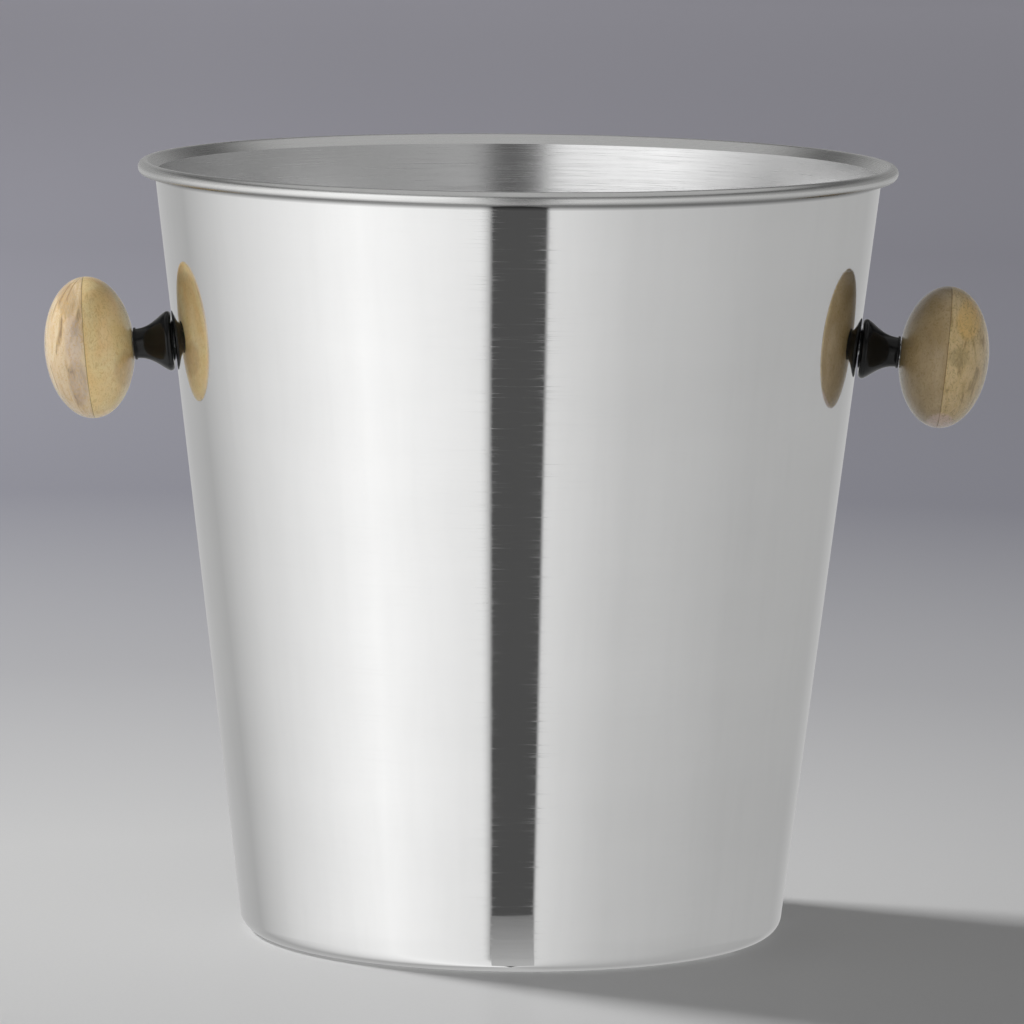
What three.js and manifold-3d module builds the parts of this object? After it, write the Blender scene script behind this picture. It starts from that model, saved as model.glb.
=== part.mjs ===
// Champagne bucket with two screwed-on horn knobs.
// Millimetres, +Z up. The origin is on the floor, under the middle of the bucket.
// The knobs lie along X: the left one on -X and the right one on +X.

import * as THREE from "three";
import { mergeVertices } from "three/addons/utils/BufferGeometryUtils.js";
import Module from "manifold-3d";

// Shell: one sheet drawn into a tapered bucket
const bucketHeight = 210;
const sheetThickness = 0.9;
const footRadius = 73.4; // the outer wall line carried down to the floor
const wallSpread = 0.12066; // outward run of the wall for each millimetre of height
const cornerRadius = 5.0; // outer rounding between wall and base
const baseRecess = 1.4; // how far the middle of the base is pushed up
const recessRadius = 54;
const recessSlope = 5; // width of the step round the recess
const shellSegments = 72;
const sheetDivisions = 4; // pieces in each curved stretch of the sheet

// Rolled rim: a hollow bead curled outward
const beadRingRadius = 100.93; // to the centre of the bead
const beadRadius = 1.93;
const flareAngle = 45; // lean of the short flare below the bead, degrees
const curlEndAngle = -133; // where the sheet's edge ends, under the bead, degrees

// Knobs: distances along a knob's axis start at the outer face of the wall
const knobAxisHeight = 158.1; // of the knob's middle
const knobCentreRadius = 115.94; // from the bucket's axis to the knob's middle
const knobDroop = 5.4; // how far the knob's axis falls outward, degrees
const knobRadius = 19.3;
const knobHalfThickness = 12.2;
const seatRadius = 4.4; // small flat where the collar meets the knob
const insertBoreRadius = 3.5;
const insertBoreDepth = 8.4;
const knobSegments = 32;
const outerDomeSteps = 10;
const innerDomeSteps = 9;

// Screw stack
const fitGap = 0.3; // between pieces that touch
const curvedFitGap = 0.55; // between a flat ring and the curved wall inside
const shankRadius = 2.0;
const clearanceRadius = 2.3; // holes that the screw passes through
const drillLength = 12; // of the drill that makes the wall holes
const gasketRadius = 5.2;
const gasketThickness = 0.7;
const sealRadius = 5.6;
const sealThickness = 0.8;
const washerRadius = 5.0;
const washerThickness = 0.8;
const headRadius = 3.9;
const headHeight = 2.5;
const headRounding = 1.25;
const slotWidth = 1.0;
const slotDepth = 1.1;
const slotLength = 4.68;
const screwDivisions = 3;
const insertRadius = 3.2;
const insertLength = 7.2;
const screwReach = 18.6; // tip of the screw, outward from the wall
const flangeStandOff = 0.55; // flange to wall, enough for the lean of the wall
const flangeRecessRadius = 5.6; // shallow recess that holds the gasket
const flangeRadius = 8.15;
const flangeRimRadius = 1.1;
const flangeRimEnd = 40; // where the rounded rim turns into the neck's sweep, degrees
const neckRadius = 4.05;
const lipRadius = 4.4;
const lipLength = 0.7;
const sweepLeaving = 2.42; // how straight the neck's sweep leaves the flange
const sweepArriving = 0.55; // where it straightens into the neck, as a share of its length
const collarDivisions = 4;
const roundSegments = 24;

const samePoint = 1e-4; // points nearer than this count as one

const radians = THREE.MathUtils.degToRad;

const finishes = {
  steel: { color: 0xd4d4d2, roughness: 0.08, metalness: 1.0 },
  horn: { color: 0xb99f72, roughness: 0.2, metalness: 0.0 },
  black: { color: 0x0d0d0e, roughness: 0.15, metalness: 0.0 },
  brass: { color: 0xc2a14d, roughness: 0.35, metalness: 1.0 },
  screw: { color: 0xb9bbbd, roughness: 0.3, metalness: 1.0 },
  rubber: { color: 0x151515, roughness: 0.8, metalness: 0.0 },
};

const wasm = await Module();
wasm.setup();

function toSolid(geometry) {
  const bare = geometry.clone();
  bare.deleteAttribute("normal");
  bare.deleteAttribute("uv");
  const merged = mergeVertices(bare, samePoint);
  return new wasm.Manifold(
    new wasm.Mesh({
      numProp: 3,
      vertProperties: new Float32Array(merged.attributes.position.array),
      triVerts: new Uint32Array(merged.index.array),
    }),
  );
}

function toGeometry(solid) {
  const mesh = solid.getMesh();
  const geometry = new THREE.BufferGeometry();
  geometry.setAttribute("position", new THREE.BufferAttribute(mesh.vertProperties, 3));
  geometry.setIndex(new THREE.BufferAttribute(mesh.triVerts, 1));
  geometry.computeVertexNormals();
  return geometry;
}

function cut(geometry, ...tools) {
  let solid = toSolid(geometry);
  for (const tool of tools) {
    solid = solid.subtract(toSolid(tool));
  }
  return toGeometry(solid);
}

function namedMesh(name, geometry, finish) {
  const mesh = new THREE.Mesh(geometry, new THREE.MeshStandardMaterial(finishes[finish]));
  mesh.name = name;
  return mesh;
}

// Turned shapes are drawn as (radius, height) and spun round +Z.
function turned(points, segments) {
  const geometry = new THREE.LatheGeometry(points, segments);
  geometry.rotateX(Math.PI / 2);
  return geometry;
}

// A path's points, without the near copies where one stretch ends and the next begins
function pathPoints(path, divisions) {
  return path.getPoints(divisions).filter((point, index, all) => {
    return index === 0 || point.distanceTo(all[index - 1]) > samePoint;
  });
}

// A flat ring or sleeve between two heights along its axis
function ring(innerRadius, outerRadius, start, end) {
  const corners = [
    [innerRadius, start],
    [outerRadius, start],
    [outerRadius, end],
    [innerRadius, end],
    [innerRadius, start],
  ];
  return turned(
    corners.map(([radius, height]) => new THREE.Vector2(radius, height)),
    roundSegments,
  );
}

function rod(radius, start, end) {
  const geometry = new THREE.CylinderGeometry(radius, radius, end - start, roundSegments);
  geometry.rotateX(Math.PI / 2);
  geometry.translate(0, 0, (start + end) / 2);
  return geometry;
}

// Outer face of the wall at a height
function wallRadius(height) {
  return footRadius + wallSpread * height;
}

// The middle of the sheet, from the centre of the base to the curled edge
function sheetMidline() {
  const half = sheetThickness / 2;
  const taper = Math.atan(wallSpread);
  const midInset = half / Math.cos(taper);
  const cornerCentre = new THREE.Vector2(
    wallRadius(cornerRadius) - cornerRadius / Math.cos(taper),
    cornerRadius,
  );
  const beadCentre = new THREE.Vector2(beadRingRadius, bucketHeight - beadRadius);
  const curlRadius = beadRadius - half;
  const lean = radians(flareAngle);
  const curlStart = new THREE.Vector2(
    beadCentre.x - curlRadius * Math.sin(lean),
    beadCentre.y + curlRadius * Math.cos(lean),
  );
  // The flare leaves the wall where its straight line meets the wall's line.
  const flareRun = curlStart.x - (wallRadius(curlStart.y) - midInset);
  const flareRise = flareRun / (Math.tan(lean) - wallSpread);
  const flareFoot = curlStart.y - flareRise;

  const path = new THREE.Path();
  path.moveTo(0, baseRecess + half);
  path.lineTo(recessRadius, baseRecess + half);
  path.bezierCurveTo(
    recessRadius + recessSlope / 2,
    baseRecess + half,
    recessRadius + recessSlope / 2,
    half,
    recessRadius + recessSlope,
    half,
  );
  path.lineTo(cornerCentre.x, half);
  path.absarc(cornerCentre.x, cornerCentre.y, cornerRadius - half, -Math.PI / 2, -taper, false);
  path.lineTo(wallRadius(flareFoot) - midInset, flareFoot);
  path.absarc(beadCentre.x, beadCentre.y, curlRadius, Math.PI - lean, radians(curlEndAngle), true);
  return pathPoints(path, sheetDivisions);
}

// Both faces of a sheet of even thickness, as one closed outline that starts and ends on the axis
function sheetOutline(midline, thickness) {
  const outer = [];
  const inner = [];
  midline.forEach((point, index) => {
    const stretches = [];
    if (index > 0) {
      stretches.push(point.clone().sub(midline[index - 1]).normalize());
    }
    if (index < midline.length - 1) {
      stretches.push(midline[index + 1].clone().sub(point).normalize());
    }
    const along = stretches.reduce((sum, stretch) => sum.add(stretch), new THREE.Vector2()).normalize();
    const reach = thickness / 2 / along.dot(stretches[0]);
    const outward = new THREE.Vector2(along.y, -along.x);
    outer.push(point.clone().addScaledVector(outward, reach));
    inner.push(point.clone().addScaledVector(outward, -reach));
  });
  outer[0].x = 0;
  inner[0].x = 0;
  return [...outer, ...inner.reverse()];
}

// Places something made along +Z so that it runs outward along a knob's axis from the wall.
function knobPlacement(side) {
  const droop = radians(knobDroop);
  const inwardRun = wallToKnob();
  const placement = new THREE.Object3D();
  placement.position.set(
    side * (knobCentreRadius - inwardRun * Math.cos(droop)),
    0,
    knobAxisHeight + inwardRun * Math.sin(droop),
  );
  placement.rotation.y = side * (Math.PI / 2 + droop);
  placement.updateMatrix();
  return placement;
}

// Distance along the knob's axis from the outer face of the wall to the knob's middle
function wallToKnob() {
  const droop = radians(knobDroop);
  const radialGap = knobCentreRadius - wallRadius(knobAxisHeight);
  return radialGap / (Math.cos(droop) + wallSpread * Math.sin(droop));
}

function bucketShell() {
  const blank = turned(sheetOutline(sheetMidline(), sheetThickness), shellSegments);
  const drills = [-1, 1].map((side) => {
    const drill = rod(clearanceRadius, -drillLength / 2, drillLength / 2);
    drill.applyMatrix4(knobPlacement(side).matrix);
    return drill;
  });
  return cut(blank, ...drills);
}

// Points on the knob's lens shape between two angles from its outer pole
function domePoints(firstAngle, lastAngle, steps) {
  const points = [];
  for (let step = 0; step <= steps; step += 1) {
    const angle = THREE.MathUtils.lerp(firstAngle, lastAngle, step / steps);
    const radius = knobRadius * Math.sin(angle);
    points.push(new THREE.Vector2(radius, wallToKnob() + knobHalfThickness * Math.cos(angle)));
  }
  return points;
}

function knobOuterHalf() {
  const glueFace = wallToKnob() + fitGap / 2;
  const glueAngle = Math.acos(fitGap / 2 / knobHalfThickness);
  const dome = domePoints(glueAngle, 0, outerDomeSteps);
  dome[dome.length - 1].x = 0;
  return turned([new THREE.Vector2(0, glueFace), ...dome], knobSegments);
}

// Where the inner dome is cut flat for the collar
function seatFace() {
  const seatAngle = Math.PI - Math.asin(seatRadius / knobRadius);
  return wallToKnob() + knobHalfThickness * Math.cos(seatAngle);
}

function knobInnerHalf() {
  const glueFace = wallToKnob() - fitGap / 2;
  const glueAngle = Math.acos(-fitGap / 2 / knobHalfThickness);
  const seatAngle = Math.PI - Math.asin(seatRadius / knobRadius);
  const dome = domePoints(seatAngle, glueAngle, innerDomeSteps);
  const boreEnd = seatFace() + insertBoreDepth;
  const outline = [
    new THREE.Vector2(0, boreEnd),
    new THREE.Vector2(insertBoreRadius, boreEnd),
    new THREE.Vector2(insertBoreRadius, seatFace()),
    ...dome,
    new THREE.Vector2(0, glueFace),
  ];
  return turned(outline, knobSegments);
}

function threadedInsert() {
  return ring(clearanceRadius, insertRadius, seatFace(), seatFace() + insertLength);
}

// Flange with a rounded edge and a recess for the gasket, a concave neck, and a small lip
function collar() {
  const start = flangeStandOff;
  const recessFloor = fitGap * 2 + gasketThickness;
  const end = seatFace() - fitGap;
  const rimCentre = start + flangeRimRadius;
  const neckStart = end - lipLength;
  const outline = new THREE.Path();
  outline.moveTo(clearanceRadius, recessFloor);
  outline.lineTo(flangeRecessRadius, recessFloor);
  outline.lineTo(flangeRecessRadius, start);
  outline.lineTo(flangeRadius - flangeRimRadius, start);
  outline.absarc(
    flangeRadius - flangeRimRadius,
    rimCentre,
    flangeRimRadius,
    -Math.PI / 2,
    radians(flangeRimEnd),
    false,
  );
  outline.bezierCurveTo(
    flangeRadius - flangeRimRadius,
    rimCentre + sweepLeaving,
    neckRadius,
    rimCentre + (neckStart - rimCentre) * sweepArriving,
    neckRadius,
    neckStart,
  );
  outline.lineTo(lipRadius, neckStart);
  outline.lineTo(lipRadius, end);
  outline.lineTo(clearanceRadius, end);
  outline.lineTo(clearanceRadius, recessFloor);
  return turned(pathPoints(outline, collarDivisions), roundSegments);
}

function outerGasket() {
  return ring(clearanceRadius, gasketRadius, fitGap, fitGap + gasketThickness);
}

function sealWasherFace() {
  return -(sheetThickness + curvedFitGap);
}

function sealWasher() {
  return ring(clearanceRadius, sealRadius, sealWasherFace() - sealThickness, sealWasherFace());
}

function innerWasherFace() {
  return sealWasherFace() - sealThickness - fitGap;
}

function innerWasher() {
  return ring(clearanceRadius, washerRadius, innerWasherFace() - washerThickness, innerWasherFace());
}

// Pan head with a rounded edge and a cross slot, and a plain shank
function knobScrew() {
  const headFace = innerWasherFace() - washerThickness - fitGap;
  const headTop = headFace - headHeight;
  const outline = new THREE.Path();
  outline.moveTo(0, headTop);
  outline.lineTo(headRadius - headRounding, headTop);
  outline.absarc(
    headRadius - headRounding,
    headTop + headRounding,
    headRounding,
    -Math.PI / 2,
    0,
    false,
  );
  outline.lineTo(headRadius, headFace);
  outline.lineTo(shankRadius, headFace);
  outline.lineTo(shankRadius, screwReach - shankRadius / 2);
  outline.lineTo(shankRadius / 2, screwReach);
  outline.lineTo(0, screwReach);
  const blank = turned(pathPoints(outline, screwDivisions), roundSegments);
  const slots = [0, Math.PI / 2].map((turn) => {
    const slot = new THREE.BoxGeometry(slotLength, slotWidth, slotDepth * 2);
    slot.rotateZ(turn);
    slot.translate(0, 0, headTop);
    return slot;
  });
  return cut(blank, ...slots);
}

const knobPieces = [
  ["knob_outer_half", knobOuterHalf, "horn"],
  ["knob_inner_half", knobInnerHalf, "horn"],
  ["threaded_insert", threadedInsert, "brass"],
  ["collar", collar, "black"],
  ["outer_gasket", outerGasket, "rubber"],
  ["seal_washer", sealWasher, "rubber"],
  ["inner_washer", innerWasher, "screw"],
  ["knob_screw", knobScrew, "screw"],
];

function knobAssembly(sideName, side) {
  const assembly = new THREE.Group();
  const placement = knobPlacement(side);
  assembly.position.copy(placement.position);
  assembly.rotation.copy(placement.rotation);
  for (const [pieceName, makeGeometry, finish] of knobPieces) {
    assembly.add(namedMesh(`${sideName}_${pieceName}`, makeGeometry(), finish));
  }
  return assembly;
}

const group = new THREE.Group();
group.add(namedMesh("bucket_shell", bucketShell(), "steel"));
group.add(knobAssembly("left", -1));
group.add(knobAssembly("right", 1));

export default group;
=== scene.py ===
import math

import bpy
from mathutils import Matrix, Vector, noise


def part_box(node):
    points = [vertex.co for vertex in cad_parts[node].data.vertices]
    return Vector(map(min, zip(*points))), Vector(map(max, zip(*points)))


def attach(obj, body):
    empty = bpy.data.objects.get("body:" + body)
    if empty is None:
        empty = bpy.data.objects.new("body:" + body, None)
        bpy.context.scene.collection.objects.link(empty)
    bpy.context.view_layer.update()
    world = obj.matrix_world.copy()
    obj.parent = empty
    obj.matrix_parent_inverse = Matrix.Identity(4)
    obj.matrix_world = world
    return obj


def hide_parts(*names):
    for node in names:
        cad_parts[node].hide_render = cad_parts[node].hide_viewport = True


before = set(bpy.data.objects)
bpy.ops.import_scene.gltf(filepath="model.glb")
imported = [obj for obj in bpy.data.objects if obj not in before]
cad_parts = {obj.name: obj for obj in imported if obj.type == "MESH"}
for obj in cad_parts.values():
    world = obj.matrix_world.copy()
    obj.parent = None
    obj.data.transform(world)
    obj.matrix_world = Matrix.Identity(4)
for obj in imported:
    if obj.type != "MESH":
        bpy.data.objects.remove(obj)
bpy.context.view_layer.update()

MM = 0.001
SIDES = {"left": -1, "right": 1}

# Bucket, in millimetres: the height and the rim come from the frame, the rest follows the CAD part
shell_low, shell_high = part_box("bucket_shell")
BUCKET_HEIGHT = (shell_high.z - shell_low.z) / MM
SHEET = 0.9
FOOT_RADIUS = 73.4
WALL_SPREAD = 0.12066
CORNER_RADIUS = 5.0
BASE_RECESS = 1.4
RECESS_RADIUS = 54.0
RECESS_SLOPE = 5.0
BEAD_RADIUS = 1.93
BEAD_RING_RADIUS = shell_high.x / MM - BEAD_RADIUS
FLARE_ANGLE = 45.0
CURL_END_ANGLE = -133.0
SHELL_SEGMENTS = 360
WALL_ROWS = 44
WAVE_DEPTH = 0.035  # how far the hand-finished wall strays from a true cone
WAVE_ACROSS, WAVE_ALONG = 26.0, 75.0  # length of its waves round the wall and up it
WAVE_FADE = 18.0  # height over which the waves fade at the foot and under the rim
WAVE_END = 6.0  # how far below the rim they end
WALL_NEAR = 1.5  # points this near the outer face belong to the wall
DRILL_REACH = 6.0  # how far the drill for a screw hole runs to each side of the wall
DRILL_SEGMENTS = 32

# How many stretches each part of the sheet's outline is cut into
BASE_STEPS = 6
RECESS_STEPS = 8
RING_STEPS = 2
CORNER_STEPS = 12
CURL_STEPS = 36

# Knobs, in millimetres, measured outward along each knob's axis from the outer face of the wall
KNOB_AXIS_HEIGHT = 158.1
KNOB_CENTRE_RADIUS = 115.94
KNOB_DROOP = 5.4
KNOB_RADIUS = 19.3
KNOB_HALF_THICKNESS = 12.2
GLUE_GAP = 0.03
GLUE_EDGE = 0.1  # tiny rounding of the glued edges
INSERT_EDGE = 0.15  # the same for the small rings and the collar's lip
GASKET_EDGE = 0.2
SEAL_EDGE = 0.25
WASHER_EDGE = 0.18
LIP_EDGE = 0.2
SEAT_RADIUS = 4.4
INSERT_BORE_RADIUS = 3.5
INSERT_BORE_DEPTH = 8.4
FIT_GAP = 0.3
CURVED_FIT_GAP = 0.55
SHANK_RADIUS = 2.0
CLEARANCE_RADIUS = 2.3
GASKET_RADIUS = 5.2
GASKET_THICKNESS = 0.7
SEAL_RADIUS = 5.6
SEAL_THICKNESS = 0.8
WASHER_RADIUS = 5.0
WASHER_THICKNESS = 0.8
HEAD_RADIUS = 3.9
HEAD_HEIGHT = 2.5
SLOT_WIDTH = 1.0
SLOT_DEPTH = 1.1
SLOT_REACH = 0.6  # half the slot's length, as a share of the head's radius
INSERT_RADIUS = 3.2
INSERT_LENGTH = 7.2
SCREW_REACH = 18.6
FLANGE_STAND_OFF = 0.55
FLANGE_RECESS_RADIUS = 5.6
FLANGE_RADIUS = 8.15
FLANGE_RIM_RADIUS = 1.1
FLANGE_RIM_END = 40.0
SWEEP_LEAVING = 2.2  # how straight the neck's sweep leaves the flange
SWEEP_ARRIVING = 0.55  # where it straightens into the neck, as a share of its length
NECK_RADIUS = 4.05
LIP_RADIUS = 4.4
LIP_LENGTH = 0.7

# Camera, in metres and degrees
CAMERA_DISTANCE = 2.2
CAMERA_ELEVATION = 7.198
CAMERA_AZIMUTH = 0.8
CAMERA_HEADING = -0.0203
CAMERA_PITCH = 6.955
CAMERA_ROLL = 0.5695
SENSOR_WIDTH = 36.0
CAMERA_LENS = 284.08
CAMERA_CLIP = (0.05, 50)


# ---------------------------------------------------------------- outlines

def wall_radius(height):
    """Outer face of the wall at a height."""
    return FOOT_RADIUS + WALL_SPREAD * height


def wall_to_knob():
    """From the wall's outer face to the knob's middle, along the knob's axis."""
    droop = math.radians(KNOB_DROOP)
    radial_gap = KNOB_CENTRE_RADIUS - wall_radius(KNOB_AXIS_HEIGHT)
    return radial_gap / (math.cos(droop) + WALL_SPREAD * math.sin(droop))


def seat_face():
    """Where the inner dome is cut flat for the collar."""
    share = math.sqrt(1 - (SEAT_RADIUS / KNOB_RADIUS) ** 2)
    return wall_to_knob() - KNOB_HALF_THICKNESS * share


def arc(centre, radius, start, end, steps):
    """Points on an arc from one angle to another, in degrees."""
    points = []
    for step in range(steps + 1):
        angle = math.radians(start + (end - start) * step / steps)
        points.append((centre[0] + radius * math.cos(angle), centre[1] + radius * math.sin(angle)))
    return points


def bezier(p0, p1, p2, p3, steps):
    """Points on a cubic curve, without its first point."""
    points = []
    for step in range(1, steps + 1):
        t = step / steps
        weights = ((1 - t) ** 3, 3 * t * (1 - t) ** 2, 3 * t * t * (1 - t), t ** 3)
        points.append(tuple(
            sum(w * p[axis] for w, p in zip(weights, (p0, p1, p2, p3))) for axis in (0, 1)
        ))
    return points


def line(start, end, steps):
    """Points on a straight run, without its first point."""
    return [
        tuple(a + (b - a) * step / steps for a, b in zip(start, end))
        for step in range(1, steps + 1)
    ]


def offset(points, distance):
    """The same open line moved sideways: to its right where distance is positive."""
    moved = []
    for index, point in enumerate(points):
        before = Vector(points[max(index - 1, 0)])
        after = Vector(points[min(index + 1, len(points) - 1)])
        here = Vector(point)
        arriving = (here - before).normalized() if index > 0 else (after - here).normalized()
        leaving = (after - here).normalized() if index < len(points) - 1 else arriving
        along = (arriving + leaving).normalized()
        reach = distance / along.dot(arriving)
        moved.append((point[0] + along.y * reach, point[1] - along.x * reach))
    return moved


# ---------------------------------------------------------------- meshes

ON_AXIS = 1e-6  # points nearer the axis than this, in millimetres, count as on it
SHARP_ANGLE = 30  # edges that bend more than this, in degrees, stay sharp


def lathe(name, outline, segments, material_of=None, closed=False):
    """A mesh turned round +Z from (radius, height) points in millimetres.

    Points on the axis become one vertex. A closed outline is a loop that never meets the axis.
    material_of gives each stretch of the outline its material index.
    """
    vertices, rings = [], []
    for radius, height in outline:
        if radius < ON_AXIS:
            rings.append([len(vertices)])
            vertices.append((0, 0, height * MM))
            continue
        ring = []
        for segment in range(segments):
            angle = 2 * math.pi * segment / segments
            ring.append(len(vertices))
            vertices.append((
                radius * MM * math.cos(angle), radius * MM * math.sin(angle), height * MM,
            ))
        rings.append(ring)
    pairs = list(zip(rings, rings[1:]))
    if closed:
        pairs.append((rings[-1], rings[0]))
    faces, indices = [], []
    for stretch, (a, b) in enumerate(pairs):
        for segment in range(segments):
            following = (segment + 1) % segments
            if len(a) == 1 and len(b) == 1:
                continue
            if len(a) == 1:
                face = (a[0], b[following], b[segment])
            elif len(b) == 1:
                face = (a[segment], a[following], b[0])
            else:
                face = (a[segment], a[following], b[following], b[segment])
            faces.append(face)
            indices.append(material_of(stretch) if material_of else 0)
    mesh = bpy.data.meshes.new(name)
    mesh.from_pydata(vertices, [], faces)
    mesh.polygons.foreach_set("material_index", indices)
    mesh.validate()
    return mesh


def smooth(mesh):
    mesh.shade_smooth()
    mesh.set_sharp_from_angle(angle=math.radians(SHARP_ANGLE))


def add_object(name, mesh, materials):
    piece = bpy.data.objects.new(name, mesh)
    bpy.context.scene.collection.objects.link(piece)
    for material in materials:
        mesh.materials.append(material)
    return piece


def add_piece(name, mesh, node, slot, materials):
    """A visible piece of the bucket that stands for one CAD node."""
    piece = add_object(name, mesh, materials)
    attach(piece, "root")
    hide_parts(node)


def cut_out(mesh, cutters):
    """The mesh with the cutters' shapes taken away."""
    blank = bpy.data.objects.new("blank", mesh)
    bpy.context.scene.collection.objects.link(blank)
    tools = []
    for cutter in cutters:
        tool = bpy.data.objects.new("cutter", cutter)
        bpy.context.scene.collection.objects.link(tool)
        tools.append(tool)
        modifier = blank.modifiers.new("cut", "BOOLEAN")
        modifier.operation = "DIFFERENCE"
        modifier.solver = "EXACT"
        modifier.object = tool
    bpy.context.view_layer.update()
    evaluated = blank.evaluated_get(bpy.context.evaluated_depsgraph_get())
    result = bpy.data.meshes.new_from_object(evaluated)
    for used in [blank, *tools]:
        bpy.data.objects.remove(used)
    return result


def knob_matrix(side):
    """Turns something made along +Z so that it runs outward along a knob's axis from the wall."""
    droop = math.radians(KNOB_DROOP)
    run = wall_to_knob()
    place = Matrix.Translation((
        side * (KNOB_CENTRE_RADIUS - run * math.cos(droop)) * MM,
        0,
        (KNOB_AXIS_HEIGHT + run * math.sin(droop)) * MM,
    ))
    return place @ Matrix.Rotation(side * (math.pi / 2 + droop), 4, "Y")


# ---------------------------------------------------------------- materials

def new_material(name):
    material = bpy.data.materials.new(name)
    material.use_nodes = True
    tree = material.node_tree
    return material, tree, tree.nodes["Principled BSDF"]


def add_node(tree, kind, **settings):
    node = tree.nodes.new(kind)
    for key, value in settings.items():
        setattr(node, key, value)
    return node


def object_place(tree):
    return add_node(tree, "ShaderNodeTexCoord").outputs["Object"]


def noise_at(tree, vector, scale, detail, roughness=0.55, distortion=0.0):
    texture = add_node(tree, "ShaderNodeTexNoise")
    texture.inputs["Scale"].default_value = scale
    texture.inputs["Detail"].default_value = detail
    texture.inputs["Roughness"].default_value = roughness
    texture.inputs["Distortion"].default_value = distortion
    tree.links.new(vector, texture.inputs["Vector"])
    return texture.outputs["Fac"]


def stretched_noise(tree, scale, detail):
    """Noise whose grain is stretched by a scale along each axis, in the object's own space."""
    mapping = add_node(tree, "ShaderNodeMapping")
    mapping.inputs["Scale"].default_value = scale
    tree.links.new(object_place(tree), mapping.inputs["Vector"])
    return noise_at(tree, mapping.outputs["Vector"], 1.0, detail, roughness=0.5)


def remap(tree, value, low, high, from_low=0.0, from_high=1.0):
    """Maps a value from one range to another, and holds it at the ends."""
    node = add_node(tree, "ShaderNodeMapRange")
    node.inputs["From Min"].default_value = from_low
    node.inputs["From Max"].default_value = from_high
    node.inputs["To Min"].default_value = low
    node.inputs["To Max"].default_value = high
    tree.links.new(value, node.inputs["Value"])
    return node.outputs["Result"]


def colour_ramp(tree, value, stops):
    """Colours along a value, from (position, colour) stops."""
    ramp = add_node(tree, "ShaderNodeValToRGB")
    elements = ramp.color_ramp.elements
    while len(elements) > 1:
        elements.remove(elements[-1])
    for index, (position, colour) in enumerate(stops):
        element = elements[0] if index == 0 else elements.new(position)
        element.position = position
        element.color = (*colour, 1.0)
    tree.links.new(value, ramp.inputs["Fac"])
    return ramp.outputs["Color"]


def bump(tree, height, distance):
    node = add_node(tree, "ShaderNodeBump")
    node.inputs["Distance"].default_value = distance
    node.inputs["Strength"].default_value = 1.0
    tree.links.new(height, node.inputs["Height"])
    return node.outputs["Normal"]


def mix_colour(tree, factor, first, second, blend="MIX"):
    """Blends two colours: sockets or plain values, by a socket or a plain factor."""
    node = add_node(tree, "ShaderNodeMix", data_type="RGBA", blend_type=blend)
    for slot_index, value in ((0, factor), (6, first), (7, second)):
        if isinstance(value, bpy.types.NodeSocket):
            tree.links.new(value, node.inputs[slot_index])
        elif slot_index == 0:
            node.inputs[0].default_value = value
        else:
            node.inputs[slot_index].default_value = (*value, 1.0)
    return node.outputs[2]


def math_node(tree, operation, first, second=None, clamp=False):
    node = add_node(tree, "ShaderNodeMath", operation=operation, use_clamp=clamp)
    for index, value in enumerate((first, second)):
        if isinstance(value, bpy.types.NodeSocket):
            tree.links.new(value, node.inputs[index])
        elif value is not None:
            node.inputs[index].default_value = value
    return node.outputs[0]


def object_axes(tree):
    """The X, Y and Z of a point in the object's own space."""
    split = add_node(tree, "ShaderNodeSeparateXYZ")
    tree.links.new(object_place(tree), split.inputs[0])
    return split.outputs


# Steel and plain finishes. A grain is in waves per metre along X, Y and Z.
STEEL_CLOUD_GRAIN = (14, 14, 40)
STEEL_CLOUD_TONE = 0.965
STREAK_GRAIN = (220, 220, 3)
STREAK_AMOUNT = 0.05
STREAK_COLOUR = (0.6, 0.6, 0.6)
CREASE_HEIGHT = BUCKET_HEIGHT - 2 * BEAD_RADIUS
CREASE_SHADE_SPREAD = 1.3  # how far above and below the crease the painted shade fades, in millimetres
# Painted shade: the colour the metal is darkened to in the crease under the rim's bead
CREASE_SHADE_COLOUR = (0.04, 0.04, 0.04)
LINE_GRAIN = 30  # of the finishing lines, along X and Y
SCRATCH_GRAIN = (60, 60, 6500)
SCRATCH_SHARE = 0.6  # of a scratch's depth to a finishing line's
TINT_GRAIN = 400
TINT_TONE = 0.8
FINE_GRAIN = 900
GLOSS_RELIEF = 0.00001


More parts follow.
